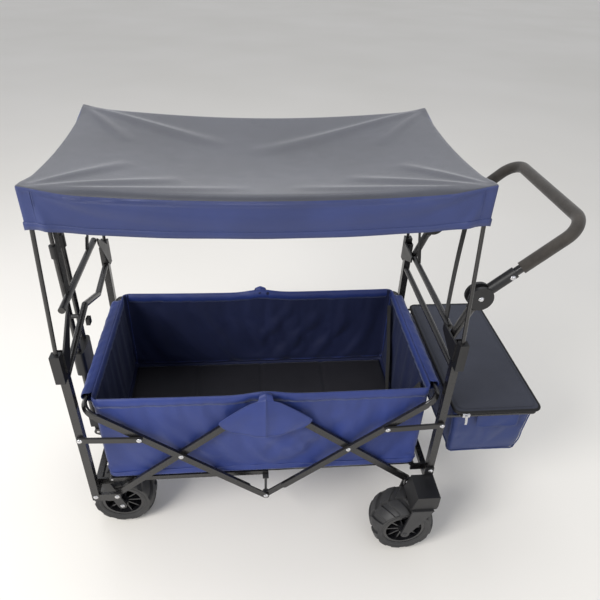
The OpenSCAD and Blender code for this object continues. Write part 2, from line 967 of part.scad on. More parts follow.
front_posts();
front_crossbars();
front_brackets();
front_lugs();
front_rivets();
canopy_poles_front();
canopy_straps_front();
canopy_fabric();
basket_fabric();
floor_mat();
hub_flaps();
front_forks();
front_axle_bolts();
handle_clip();
front_tyre_left();
front_rim_left();
front_tyre_right();
front_rim_right();
pull_handle_tubes();
pull_handle_collars();
pull_handle_loop();
pull_handle_grip();
inner_bars_front();
inner_bars_rear();
scissor_rivets_front();
scissor_rivets_rear();
outer_frame_front();
outer_frame_rear();
hub_rivets();
hub_pins();
link_arms_front();
link_arms_rear();
link_rivets_front();
link_rivets_rear();
base_rails_front();
base_rails_rear();
rear_posts();
rear_crossbars();
rear_brackets();
rear_lugs();
rear_rivets();
canopy_poles_rear();
canopy_straps_rear();
seat_belts();
caster_housings();
caster_fork_left();
caster_fork_right();
rear_tyre_left();
rear_rim_left();
rear_tyre_right();
rear_rim_right();
handle_mounts();
push_handle_arms();
push_handle_tube();
push_handle_grip();
push_handle_rivets();
bag_body();
bag_frame();
bag_zip();
bag_lid();
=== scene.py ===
import math

import bpy
import numpy as np
from mathutils import Matrix, Vector


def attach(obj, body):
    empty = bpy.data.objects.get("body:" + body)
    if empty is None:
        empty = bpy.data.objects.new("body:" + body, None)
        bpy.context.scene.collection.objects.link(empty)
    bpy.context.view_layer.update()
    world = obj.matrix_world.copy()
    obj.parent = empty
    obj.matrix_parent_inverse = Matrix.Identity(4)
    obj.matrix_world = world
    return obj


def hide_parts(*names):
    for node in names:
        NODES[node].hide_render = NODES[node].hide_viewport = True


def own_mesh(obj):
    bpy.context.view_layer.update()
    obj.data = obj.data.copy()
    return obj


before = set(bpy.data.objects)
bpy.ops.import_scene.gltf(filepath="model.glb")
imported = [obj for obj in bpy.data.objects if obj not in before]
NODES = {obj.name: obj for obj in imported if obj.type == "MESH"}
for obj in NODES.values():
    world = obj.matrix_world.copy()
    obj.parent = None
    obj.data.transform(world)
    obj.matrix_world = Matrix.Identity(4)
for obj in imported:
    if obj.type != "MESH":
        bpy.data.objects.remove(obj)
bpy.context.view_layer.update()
SX = -0.0905  # where the middle of the basket and canopy stands along X


# ---------- camera and lamps ----------

def make_camera():
    """The photograph's viewing angle."""
    yaw, pitch, roll = (math.radians(a) for a in (6.283, -34.229, 2.372))
    fwd = Vector((math.sin(yaw) * math.cos(pitch), math.cos(yaw) * math.cos(pitch), math.sin(pitch)))
    right = Vector((math.cos(yaw), -math.sin(yaw), 0))
    up = right.cross(fwd)
    r2 = right * math.cos(roll) + up * math.sin(roll)
    u2 = up * math.cos(roll) - right * math.sin(roll)
    data = bpy.data.cameras.new("camera")
    data.sensor_width = 36
    data.lens = 33.592
    data.clip_start, data.clip_end = 0.05, 60
    cam = bpy.data.objects.new("camera", data)
    bpy.context.scene.collection.objects.link(cam)
    m = Matrix((r2, u2, -fwd)).transposed().to_4x4()
    m.translation = Vector((-0.1255, -1.215, 1.485))
    cam.matrix_world = m
    bpy.context.scene.camera = cam


def area_light(name, loc, target, size, power, colour=(1, 1, 1)):
    data = bpy.data.lights.new(name, "AREA")
    data.shape = "RECTANGLE"
    data.size, data.size_y = size
    data.energy = power
    data.color = colour
    o = bpy.data.objects.new(name, data)
    bpy.context.scene.collection.objects.link(o)
    o.location = loc
    o.rotation_mode = "QUATERNION"
    o.rotation_quaternion = (Vector(target) - Vector(loc)).to_track_quat("-Z", "Y")


make_camera()


# ---------- materials ----------

class Nodes:
    """Short names for the shader nodes used below."""

    def __init__(self, name):
        self.mat = bpy.data.materials.new(name)
        self.mat.use_nodes = True
        self.tree = self.mat.node_tree
        self.bsdf = self.tree.nodes["Principled BSDF"]

    def add(self, kind, **sockets):
        n = self.tree.nodes.new(kind)
        for k, v in sockets.items():
            if k in n.inputs:
                n.inputs[k].default_value = v
            else:
                setattr(n, k, v)
        return n

    def link(self, a, b):
        self.tree.links.new(a, b)

    def coords(self, kind="Object"):
        return self.add("ShaderNodeTexCoord").outputs[kind]

    def noise(self, vec, scale, detail=3.0, rough=0.55):
        n = self.add("ShaderNodeTexNoise")
        n.inputs["Scale"].default_value = scale
        n.inputs["Detail"].default_value = detail
        n.inputs["Roughness"].default_value = rough
        self.link(vec, n.inputs["Vector"])
        return n.outputs["Fac"]

    def ramp(self, fac, stops):
        n = self.add("ShaderNodeValToRGB")
        while len(n.color_ramp.elements) < len(stops):
            n.color_ramp.elements.new(0.5)
        for e, (p, c) in zip(n.color_ramp.elements, stops):
            e.position = p
            e.color = (*c, 1)
        self.link(fac, n.inputs["Fac"])
        return n.outputs["Color"]

    def math(self, op, a, b=None):
        n = self.add("ShaderNodeMath", operation=op)
        for i, v in enumerate((a, b)):
            if v is None:
                continue
            if isinstance(v, (int, float)):
                n.inputs[i].default_value = v
            else:
                self.link(v, n.inputs[i])
        return n.outputs[0]

    def range(self, fac, lo, hi):
        n = self.add("ShaderNodeMapRange")
        n.inputs["To Min"].default_value = lo
        n.inputs["To Max"].default_value = hi
        self.link(fac, n.inputs["Value"])
        return n.outputs[0]

    def bump(self, height, distance, strength=1.0, normal=None):
        n = self.add("ShaderNodeBump")
        n.inputs["Strength"].default_value = strength
        n.inputs["Distance"].default_value = distance
        self.link(height, n.inputs["Height"])
        if normal is not None:
            self.link(normal, n.inputs["Normal"])
        return n.outputs["Normal"]

    def put(self, **sockets):
        for k, v in sockets.items():
            s = self.bsdf.inputs[k.replace("_", " ")]
            if isinstance(v, (int, float, tuple)):
                s.default_value = v
            else:
                self.link(v, s)


def lin(r, g, b):
    """An sRGB colour in 0 to 255 as linear numbers."""
    return tuple(((c / 255) / 12.92 if c / 255 <= 0.04045 else ((c / 255 + 0.055) / 1.055) ** 2.4)
                 for c in (r, g, b))


def scaled(c, k):
    """A linear colour made lighter or darker."""
    return tuple(min(1, x * k) for x in c)


def hard_material(name, colour, rough, spread=0.12, metallic=0.0, grain=900.0, grain_depth=0.00004,
                  specular=0.5, coat=0.0):
    """Paint, moulding, rubber or metal: mottled colour and roughness over a fine grain."""
    m = Nodes(name)
    at = m.coords()
    broad = m.noise(at, 14.0, 4.0)
    fine = m.noise(at, grain, 2.0)
    m.put(Base_Color=m.ramp(broad, [(0.25, scaled(colour, 0.82)), (0.75, scaled(colour, 1.2))]))
    m.put(Roughness=m.range(m.noise(at, 45.0, 5.0), max(0.02, rough - spread), rough + spread))
    m.put(Metallic=metallic, Specular_IOR_Level=specular, Coat_Weight=coat, Coat_Roughness=0.25)
    m.put(Normal=m.bump(fine, grain_depth))
    return m.mat


def weave_material(name, colour, rough=0.5, pitch=0.0011, depth=0.00012, sheen=0.25, mottle=0.18,
                   coords="UV", specular=0.35, tint=(0.75, 0.82, 1.0)):
    """A plain weave of thread pitch in metres. The coordinates are metres along and across the cloth."""
    m = Nodes(name)
    at = m.coords(coords)
    parts = m.add("ShaderNodeSeparateXYZ")
    m.link(at, parts.inputs[0])
    wob = m.range(m.noise(at, 60.0, 2.0), -0.00025, 0.00025)
    u = m.math("SINE", m.math("MULTIPLY", m.math("ADD", parts.outputs[0], wob), math.pi / pitch))
    v = m.math("SINE", m.math("MULTIPLY", m.math("ADD", parts.outputs[1], wob), math.pi / pitch))
    if coords == "Object":
        w = m.math("SINE", m.math("MULTIPLY", parts.outputs[2], math.pi / pitch))
        cross = m.math("ADD", m.math("MULTIPLY", u, w), m.math("MULTIPLY", v, w))
    else:
        cross = m.math("MULTIPLY", u, v)
    threads = m.range(cross, 0.0, 1.0)
    body = m.coords("Object")
    broad = m.noise(body, 5.0, 5.0, 0.6)
    shade = m.add("ShaderNodeMixRGB", blend_type="MULTIPLY")
    shade.inputs["Fac"].default_value = 0.35
    m.link(m.ramp(broad, [(0.3, scaled(colour, 1 - mottle)), (0.7, scaled(colour, 1 + mottle))]),
           shade.inputs["Color1"])
    m.link(m.ramp(threads, [(0.1, (0.45, 0.45, 0.5)), (0.8, (1, 1, 1))]), shade.inputs["Color2"])
    m.put(Base_Color=shade.outputs["Color"])
    m.put(Roughness=m.range(m.noise(body, 30.0, 4.0), rough - 0.07, rough + 0.1))
    m.put(Specular_IOR_Level=specular, Sheen_Weight=sheen, Sheen_Roughness=0.4, Sheen_Tint=(*tint, 1))
    soft = m.bump(m.noise(body, 90.0, 4.0), 0.0006, 0.35)
    m.put(Normal=m.bump(cross, depth, 0.8, soft))
    return m.mat


def webbing_material(name, colour, pitch=0.0016):
    """Ribbed webbing, whose ribs run across the strap."""
    m = Nodes(name)
    at = m.coords("UV")
    parts = m.add("ShaderNodeSeparateXYZ")
    m.link(at, parts.inputs[0])
    along = m.math("SINE", m.math("MULTIPLY", parts.outputs[1], 2 * math.pi / pitch))
    across = m.math("SINE", m.math("MULTIPLY", parts.outputs[0], 2 * math.pi / (pitch * 1.7)))
    rib = m.math("ADD", along, m.math("MULTIPLY", across, 0.5))
    m.put(Base_Color=m.ramp(m.range(rib, 0.3, 0.9),
                            [(0.2, scaled(colour, 0.6)), (0.8, scaled(colour, 1.35))]))
    m.put(Roughness=0.72, Sheen_Weight=0.08, Sheen_Roughness=0.5, Specular_IOR_Level=0.3)
    m.put(Normal=m.bump(rib, 0.00025, 0.8))
    return m.mat


def foam_material(name, colour):
    """Closed-cell foam: small pits over a softly mottled skin."""
    m = Nodes(name)
    at = m.coords()
    pits = m.add("ShaderNodeTexVoronoi", feature="F1")
    pits.inputs["Scale"].default_value = 750.0
    m.link(at, pits.inputs["Vector"])
    m.put(Base_Color=m.ramp(m.noise(at, 40.0, 5.0),
                            [(0.3, scaled(colour, 0.75)), (0.7, scaled(colour, 1.3))]))
    m.put(Roughness=m.range(m.noise(at, 70.0, 3.0), 0.62, 0.85))
    m.put(Sheen_Weight=0.25, Sheen_Roughness=0.5, Specular_IOR_Level=0.35)
    m.put(Normal=m.bump(pits.outputs["Distance"], 0.0004, 0.6, m.bump(m.noise(at, 120.0), 0.0008, 0.4)))
    return m.mat


PAINT = hard_material("frame_paint", lin(22, 21, 22), 0.27, 0.09, specular=0.6, coat=0.2, grain=1300)
PLASTIC = hard_material("moulded_plastic", lin(22, 22, 24), 0.42, 0.1, grain=1600, grain_depth=0.00006)
FORK = hard_material("fork_paint", lin(42, 42, 44), 0.42, 0.12, specular=0.5, grain=1300)
LINK = hard_material("link_paint", lin(44, 43, 43), 0.4, 0.1, grain=1300)
STEEL = hard_material("plated_steel", lin(205, 205, 208), 0.24, 0.08, metallic=1.0, grain=600)
RUBBER = hard_material("tyre_rubber", lin(50, 50, 51), 0.52, 0.1, grain=700, grain_depth=0.00012,
                       specular=0.4)
RIM = hard_material("rim_moulding", lin(26, 26, 29), 0.26, 0.08, specular=0.6, coat=0.2)
CANOPY = weave_material("canopy_cloth", lin(44, 57, 108), 0.42, sheen=0.25, specular=0.5)
# The top panel: the canopy's navy cloth painted a lighter grey, a painted reflection of the overhead light
# on its top
CANOPY_TOP_PAINTED_REFLECTION = weave_material("canopy_top_painted_reflection", lin(62, 64, 73), 0.38, sheen=0.3, specular=0.55,
                                  tint=(0.95, 0.96, 1.0))
BASKET = weave_material("basket_cloth", lin(38, 56, 122), 0.46, sheen=0.2, specular=0.45)
# The basket's inner faces: the navy cloth painted darker, as painted shade for the dim inside of the basket
BASKET_PAINTED_SHADE = weave_material("basket_inside_painted_shade", lin(33, 40, 74), 0.55, sheen=0.1, specular=0.3)
BAG = weave_material("bag_cloth", lin(37, 54, 108), 0.5, sheen=0.2)
LID = weave_material("lid_cloth", lin(44, 47, 60), 0.52, sheen=0.25)
MAT = weave_material("mat_cloth", lin(34, 33, 39), 0.6, pitch=0.0014, sheen=0.15)
TAPE = weave_material("binding_tape", lin(18, 18, 20), 0.6, pitch=0.0009, coords="Object", sheen=0.0)
THREAD = hard_material("thread", lin(58, 68, 108), 0.6, 0.1, grain=4000)
DARK_THREAD = hard_material("dark_thread", lin(40, 40, 44), 0.6, 0.1, grain=4000)
WEB = webbing_material("webbing", lin(26, 26, 27))
FOAM = foam_material("grip_foam", lin(50, 46, 42))


def paint(names, material):
    """Gives CAD nodes that keep their own mesh a material."""
    for n in names.split():
        data = NODES[n].data
        data.materials.clear()
        data.materials.append(material)


paint("front_posts rear_posts front_crossbars rear_crossbars inner_bars_front inner_bars_rear "
      "outer_frame_front outer_frame_rear base_rails_front base_rails_rear canopy_poles_front "
      "canopy_poles_rear push_handle_tube pull_handle_tubes pull_handle_loop bag_frame front_lugs "
      "rear_lugs handle_mounts", PAINT)
paint("front_brackets rear_brackets caster_housings push_handle_arms pull_handle_collars handle_clip",
      PLASTIC)
paint("front_forks caster_fork_left caster_fork_right hub_pins", FORK)
paint("link_arms_front link_arms_rear", LINK)
paint("front_rivets rear_rivets scissor_rivets_front scissor_rivets_rear hub_rivets link_rivets_front "
      "link_rivets_rear push_handle_rivets front_axle_bolts", STEEL)
paint("push_handle_grip pull_handle_grip", FOAM)
paint("front_rim_left front_rim_right rear_rim_left rear_rim_right", RIM)
paint("front_tyre_left front_tyre_right rear_tyre_left rear_tyre_right", RUBBER)


# ---------- mesh helpers ----------

def new_mesh(name, verts, faces, materials, uvs=None, smooth=True):
    """An object with a new mesh. Its cloth coordinates are in metres."""
    data = bpy.data.meshes.new(name)
    data.from_pydata([tuple(v) for v in verts], [], [tuple(f) for f in faces])
    for m in materials if isinstance(materials, (list, tuple)) else [materials]:
        data.materials.append(m)
    if uvs is not None:
        layer = data.uv_layers.new(name="cloth")
        loops = np.empty(len(data.loops), np.int64)
        data.loops.foreach_get("vertex_index", loops)
        layer.data.foreach_set("uv", np.asarray(uvs, np.float32)[loops].ravel())
    if smooth:
        data.polygons.foreach_set("use_smooth", [True] * len(data.polygons))
    data.update()
    o = bpy.data.objects.new(name, data)
    bpy.context.scene.collection.objects.link(o)
    return o


def positions(o):
    co = np.empty(len(o.data.vertices) * 3, np.float32)
    o.data.vertices.foreach_get("co", co)
    return co.reshape(-1, 3).astype(float)


def set_positions(o, co):
    o.data.vertices.foreach_set("co", np.asarray(co, np.float32).ravel())
    o.data.update()


def modify(o, kind, **settings):
    m = o.modifiers.new(kind.lower(), kind)
    for k, v in settings.items():
        setattr(m, k, v)
    return m


def smoothed(o):
    """Adds one level of subdivision."""
    modify(o, "SUBSURF", levels=1, render_levels=1)


def apply_all(o):
    """Turns the object's modifiers into its own mesh."""
    dg = bpy.context.evaluated_depsgraph_get()
    made = bpy.data.meshes.new_from_object(o.evaluated_get(dg), preserve_all_data_layers=True, depsgraph=dg)
    old = o.data
    o.modifiers.clear()
    o.data = made
    bpy.data.meshes.remove(old)


def simulate(o, pins, frames, cap, growth, mass, bending, tension):
    """Lets the cloth settle with some vertices pinned, and moves no point further than cap."""
    before = positions(o)
    group = o.vertex_groups.new(name="pins")
    group.add([int(i) for i in pins], 1.0, "REPLACE")
    m = modify(o, "CLOTH")
    s = m.settings
    s.quality = 5
    s.mass = mass
    s.tension_stiffness = s.compression_stiffness = tension
    s.shear_stiffness = tension * 0.4
    s.bending_stiffness = bending
    s.tension_damping = s.compression_damping = s.shear_damping = 12
    s.air_damping = 4
    s.shrink_min = -growth
    s.vertex_group_mass = "pins"
    m.collision_settings.use_collision = False
    m.point_cache.frame_start, m.point_cache.frame_end = 1, frames
    scene = bpy.context.scene
    for f in range(1, frames + 1):
        scene.frame_set(f)
    dg = bpy.context.evaluated_depsgraph_get()
    after = np.empty(len(before) * 3, np.float32)
    o.evaluated_get(dg).to_mesh().vertices.foreach_get("co", after)
    o.modifiers.clear()
    scene.frame_set(1)
    move = after.reshape(-1, 3).astype(float) - before
    size = np.linalg.norm(move, axis=1, keepdims=True)
    move *= np.minimum(1, cap / np.maximum(size, 1e-9))
    set_positions(o, before + move)


def wrapped(rows, m, closed=True):
    """Faces between rings of m points, where the last ring may join the first."""
    faces = []
    for i in range(rows if closed else rows - 1):
        j = (i + 1) % rows
        faces += [(i * m + k, i * m + (k + 1) % m, j * m + (k + 1) % m, j * m + k) for k in range(m)]
    return faces


def rim_of(nx, ny):
    """The grid points round the edge of a grid, in order."""
    rim = [(i, 0) for i in range(nx)] + [(nx, j) for j in range(ny)]
    return rim + [(i, ny) for i in range(nx, 0, -1)] + [(0, j) for j in range(ny, 0, -1)]


def tube_along(name, points, radius, material, sides=8, closed=False):
    """A round tube along a line of points, with closed ends."""
    p = np.asarray(points, float)
    n = len(p)
    if closed:
        t = np.roll(p, -1, 0) - np.roll(p, 1, 0)
    else:
        t = np.gradient(p, axis=0)
    t /= np.linalg.norm(t, axis=1, keepdims=True)
    aside = np.array([0.13, 0.21, 0.97])
    a = np.cross(t, aside)
    a /= np.linalg.norm(a, axis=1, keepdims=True)
    b = np.cross(t, a)
    ang = np.arange(sides) * 2 * math.pi / sides
    cos, sin = np.cos(ang)[None, :, None], np.sin(ang)[None, :, None]
    verts = (p[:, None] + radius * (cos * a[:, None] + sin * b[:, None])).reshape(-1, 3)
    faces = wrapped(n, sides, closed)
    if not closed:
        faces.append(tuple(range(sides - 1, -1, -1)))
        faces.append(tuple((n - 1) * sides + k for k in range(sides)))
    return new_mesh(name, verts, faces, material)


def resample(points, pitch, closed=False):
    """Points at an even pitch along a line."""
    p = np.asarray(points, float)
    if closed:
        p = np.vstack([p, p[:1]])
    d = np.concatenate([[0], np.cumsum(np.linalg.norm(np.diff(p, axis=0), axis=1))])
    count = max(2, int(d[-1] / pitch) + 1)
    s = np.linspace(0, d[-1], count)
    return np.stack([np.interp(s, d, p[:, i]) for i in range(3)], 1)


def stitches(name, points, out, material, length=0.0032, pitch=0.0048, width=0.0009, closed=False):
    """A row of raised stitches along a line, standing on the side that out points to."""
    line = resample(points, pitch, closed)
    out = np.asarray(out, float)
    if out.ndim == 1:
        out = np.tile(out, (len(line), 1))
    else:
        src = np.asarray(points, float)
        out = out[[int(np.argmin(((src - q) ** 2).sum(1))) for q in line]]
    verts, faces = [], []
    for i in range(len(line) - 1):
        a, b = line[i], line[i + 1]
        t = (b - a) / np.linalg.norm(b - a)
        o = out[i] / np.linalg.norm(out[i])
        w = np.cross(t, o) * width / 2
        e = a + t * length
        mid = (a + e) / 2 + o * 0.0007
        k = len(verts)
        verts += [a - w, a + w, mid + w, mid - w, e - w, e + w, a - o * 0.0004, e - o * 0.0004]
        faces += [(k, k + 1, k + 2, k + 3), (k + 3, k + 2, k + 5, k + 4), (k, k + 3, k + 4, k + 7, k + 6),
                  (k + 1, k + 6, k + 7, k + 5, k + 2), (k, k + 6, k + 1), (k + 4, k + 5, k + 7)]
    return new_mesh(name, verts, faces, material, smooth=False)


# ---------- canopy ----------

CANOPY_HX, CANOPY_HY, CANOPY_TOP, CANOPY_DROP = 0.4395, 0.2610, 1.0850, 0.086
CANOPY_EDGE_R = 0.014
CANOPY_STEP = 0.0078  # between two points of the rim
FOLD_DEPTH = 1.7  # all the canopy's folds are this much deeper than their own heights
# Corner [u, v], direction in degrees, reach, width and height of each fold
CANOPY_FOLDS = [(-1, -1, 22, 0.30, 0.016, 0.0040), (-1, -1, 52, 0.26, 0.015, 0.0035),
                (-1, -1, 8, 0.42, 0.014, 0.0030), (1, -1, 156, 0.30, 0.016, 0.0038),
                (1, -1, 128, 0.24, 0.014, 0.0034), (1, -1, 171, 0.40, 0.013, 0.0028),
                (1, 1, 205, 0.52, 0.020, 0.0050), (1, 1, 232, 0.26, 0.015, 0.0034),
                (-1, 1, -26, 0.40, 0.018, 0.0042), (-1, 1, -55, 0.24, 0.014, 0.0034)]


def canopy_at(u, v):
    """A point of the top panel, for u and v from -1 to 1. All four edges hang and bow inward."""
    eu, ev = 1 - u * u, 1 - v * v
    x = CANOPY_HX * u * (1 - 0.016 * ev)
    y = CANOPY_HY * v * (1 - 0.03 * eu)
    sag = 0.019 * eu ** 1.3 + 0.011 * ev ** 1.2 + 0.014 * eu * ev
    return SX + x, y, CANOPY_TOP - sag - canopy_ridges(u, v) - canopy_edge(u, v)


def canopy_edge(u, v):
    """How far the panel has turned down by a long edge, where it bends round into the hanging side."""
    d = (1 - abs(v)) * CANOPY_HY
    if d >= CANOPY_EDGE_R:
        return 0
    turn = CANOPY_EDGE_R - math.sqrt(CANOPY_EDGE_R ** 2 - (CANOPY_EDGE_R - d) ** 2)
    return 0.8 * turn * (1 - abs(u) ** 10)


def canopy_ridges(u, v):
    """Soft folds that run inward from the corners, as a depth below the panel, negative on a ridge."""
    depth = 0
    for cu, cv, angle, reach, width, height in CANOPY_FOLDS:
        du, dv = (u - cu) * CANOPY_HX, (v - cv) * CANOPY_HY
        a = math.radians(angle)
        along = du * math.cos(a) + dv * math.sin(a)
        across = -du * math.sin(a) + dv * math.cos(a)
        if along > 0:
            fade = math.sin(math.pi * min(1, along / reach)) ** 0.8
            spread = width * (0.35 + along / reach)
            depth -= FOLD_DEPTH * height * fade * math.exp(-(across / spread) ** 2)
    return depth


def make_canopy():
    nx, ny, nd = 112, 66, 12
    verts, uvs, index = [], [], {}
    for j in range(ny + 1):
        for i in range(nx + 1):
            u, v = 2 * i / nx - 1, 2 * j / ny - 1
            index[i, j] = len(verts)
            verts.append(canopy_at(u, v))
            uvs.append((u * CANOPY_HX, v * CANOPY_HY))
    faces = [(index[i, j], index[i + 1, j], index[i + 1, j + 1], index[i, j + 1])
             for j in range(ny) for i in range(nx)]
    rim = rim_of(nx, ny)
    rows = [[index[p] for p in rim]]
    for k in range(1, nd + 1):
        row = []
        for n, (i, j) in enumerate(rim):
            x, y, z = verts[index[i, j]]
            d = k / nd
            u, v = 2 * i / nx - 1, 2 * j / ny - 1
            flare = 0.004 * d * (1 - (u * u if abs(v) == 1 else v * v))
            wave = 0.0022 * d * math.sin(n * 0.21 + 1.3) * math.sin(n * 0.053)
            out_x = (abs(u) == 1) * math.copysign(1, u)
            out_y = (abs(v) == 1) * math.copysign(1, v)
            row.append(len(verts))
            drop = CANOPY_DROP - canopy_edge(u, v)
            verts.append((x + out_x * (flare + wave), y + out_y * (flare + wave), z - drop * d))
            uvs.append((n * CANOPY_STEP, 2 + CANOPY_DROP * d))
        rows.append(row)
    m = len(rim)
    for a, b in zip(rows, rows[1:]):
        faces += [(a[n], b[n], b[(n + 1) % m], a[(n + 1) % m]) for n in range(m)]
    # The top panel takes the lighter grey painted reflection, and the hanging sides take the navy cloth
    o = new_mesh("canopy", verts, faces, [CANOPY_TOP_PAINTED_REFLECTION, CANOPY], uvs)
    o.data.polygons.foreach_set("material_index", [0] * (nx * ny) + [1] * (len(faces) - nx * ny))
    corner = [rim.index(c) for c in ((0, 0), (nx, 0), (nx, ny), (0, ny))]
    pins = [r[(c + k) % m] for r in rows for c in corner for k in range(-3, 4)]
    simulate(o, pins, 20, 0.006, growth=0.004, mass=0.2, bending=1.5, tension=30)
    co = positions(o)
    centre = np.array([SX, 0, 0])

    def outward(ids):
        p = co[ids] - centre
        d = np.zeros_like(p)
        along_x = np.abs(p[:, 0]) / CANOPY_HX > np.abs(p[:, 1]) / CANOPY_HY
        d[along_x, 0] = np.sign(p[along_x, 0])
        d[~along_x, 1] = np.sign(p[~along_x, 1])
        return d

    # The hem: a doubled band along the lower edge, sewn through
    low, high = rows[-1], rows[-3]
    dirs = outward(low)
    strip = [co[low] - [0, 0, 0.0005], co[low] + dirs * 0.0016, co[high] + dirs * 0.0014,
             co[high] + dirs * 0.0003 + [0, 0, 0.0012], co[high] - dirs * 0.0008, co[low] - dirs * 0.0012]
    hem = band("canopy_hem", strip, CANOPY, CANOPY_STEP, 0.004)
    sew = stitches("canopy_hem_stitch", co[high] + dirs * 0.0014 - [0, 0, 0.002], dirs, THREAD,
                   closed=True)
    # Upright seams near the corners of the long sides
    ups = []
    for n, column in enumerate((3, nx - 3, nx + ny + 3, 2 * nx + ny - 3)):
        ids = [r[column] for r in rows[1:]]
        ups.append(tube_along(f"canopy_side_seam_{n}", co[ids] + outward(ids) * 0.0002, 0.0008, CANOPY, 6))
        ups.append(stitches(f"canopy_side_stitch_{n}", co[ids] + outward(ids) * 0.0006
                            + [0.003 * (1 if co[ids[0], 0] < SX else -1), 0, 0], outward(ids), THREAD))
    smoothed(o)
    modify(o, "SOLIDIFY", thickness=0.0011, offset=-1.0, use_even_offset=True)
    apply_all(o)
    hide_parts("canopy_fabric")
    squashed([o, hem, sew, *ups])


# ---------- cloth and loop helpers ----------

def squashed(pieces):
    """Pieces that stay with the front frame: each is attached to the root body and given its own mesh."""
    for p in pieces:
        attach(p, "root")
        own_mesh(p)


def band(name, loops, material, along, across):
    """A closed band with one loop of points at each corner of its section."""
    m = len(loops[0])
    uvs = [(n * along, 3 + across * a) for a in range(len(loops)) for n in range(m)]
    return new_mesh(name, np.vstack(loops), wrapped(len(loops), m), material, uvs)


def loop_points(x0, x1, y0, y1, r, pitch=0.01):
    """A rectangle with round corners, as points at about an even pitch, starting on the side y0."""
    pts = []
    corners = ((x1 - r, y0 + r, -90), (x1 - r, y1 - r, 0), (x0 + r, y1 - r, 90), (x0 + r, y0 + r, 180))
    for cx, cy, a0 in corners:
        for k in range(7):
            a = math.radians(a0 + k * 15)
            pts.append((cx + r * math.cos(a), cy + r * math.sin(a), 0.0))
    return resample(np.array(pts), pitch, True)[:-1]


def ribbon(name, points, across, width, thick, material):
    """Flat webbing along a line. The across direction is turned square to the line."""
    p = np.asarray(points, float)
    t = np.gradient(p, axis=0)
    t /= np.linalg.norm(t, axis=1, keepdims=True)
    w = np.asarray(across, float) - t * (t @ np.asarray(across, float))[:, None]
    w /= np.linalg.norm(w, axis=1, keepdims=True)
    n = np.cross(t, w)
    s = np.concatenate([[0], np.cumsum(np.linalg.norm(np.diff(p, axis=0), axis=1))])
    shape = [(-0.5, 0.25), (-0.42, 0.5), (0.42, 0.5), (0.5, 0.25),
             (0.5, -0.25), (0.42, -0.5), (-0.42, -0.5), (-0.5, -0.25)]
    verts, uvs, m = [], [], len(shape)
    for i in range(len(p)):
        for a, b in shape:
            verts.append(p[i] + w[i] * a * width + n[i] * b * thick)
            uvs.append((a * width, s[i]))
    faces = [(a, d, c, b) for a, b, c, d in wrapped(len(p), m, closed=False)]
    faces += [tuple(range(m)), tuple(len(p) * m - 1 - k for k in range(m))]
    return new_mesh(name, verts, faces, material, uvs, smooth=False)


def rings(loops):
    """Faces between loops of the same length, with the last one closed."""
    m = len(loops[0])
    faces = [(a[k], b[k], b[(k + 1) % m], a[(k + 1) % m])
             for a, b in zip(loops, loops[1:]) for k in range(m)]
    return faces + [f[::-1] for f in strip_across(loops[-1])]


def strip_across(loop):
    """Faces that fill a loop with four-sided strips, from its first point to the one opposite."""
    m = len(loop)
    strips = [tuple(dict.fromkeys((loop[k], loop[k + 1], loop[m - k - 1], loop[-k]))) for k in range(m // 2)]
    return [f for f in strips if len(f) > 2]


# ---------- basket, floor mat and hub covers ----------

BASKET_X, BASKET_Y, BASKET_LOW, BASKET_TOP = 0.4115, 0.2245, 0.2525, 0.534
BASKET_MOST = (0.4135, 0.2262)  # half sizes that keep the cloth inside the frame
BASKET_STEP = 0.0085  # between two points round the basket
FLOOR_STEPS = (0.06, 0.2, 0.4, 0.6, 0.8, 0.92)  # shares of the way from a floor's edge to its middle


def basket_top(x, y):
    """The height of the basket's edge: a peak at the middle of each long side, and a slight dip."""
    peak = 0.010 * math.exp(-((x - SX) / 0.05) ** 2) if abs(y) > 0.2 else 0
    dip = -0.004 * (1 - ((x - SX) / BASKET_X) ** 2) if abs(y) > 0.2 else -0.003 * (1 - (y / BASKET_Y) ** 2)
    return BASKET_TOP + peak + dip


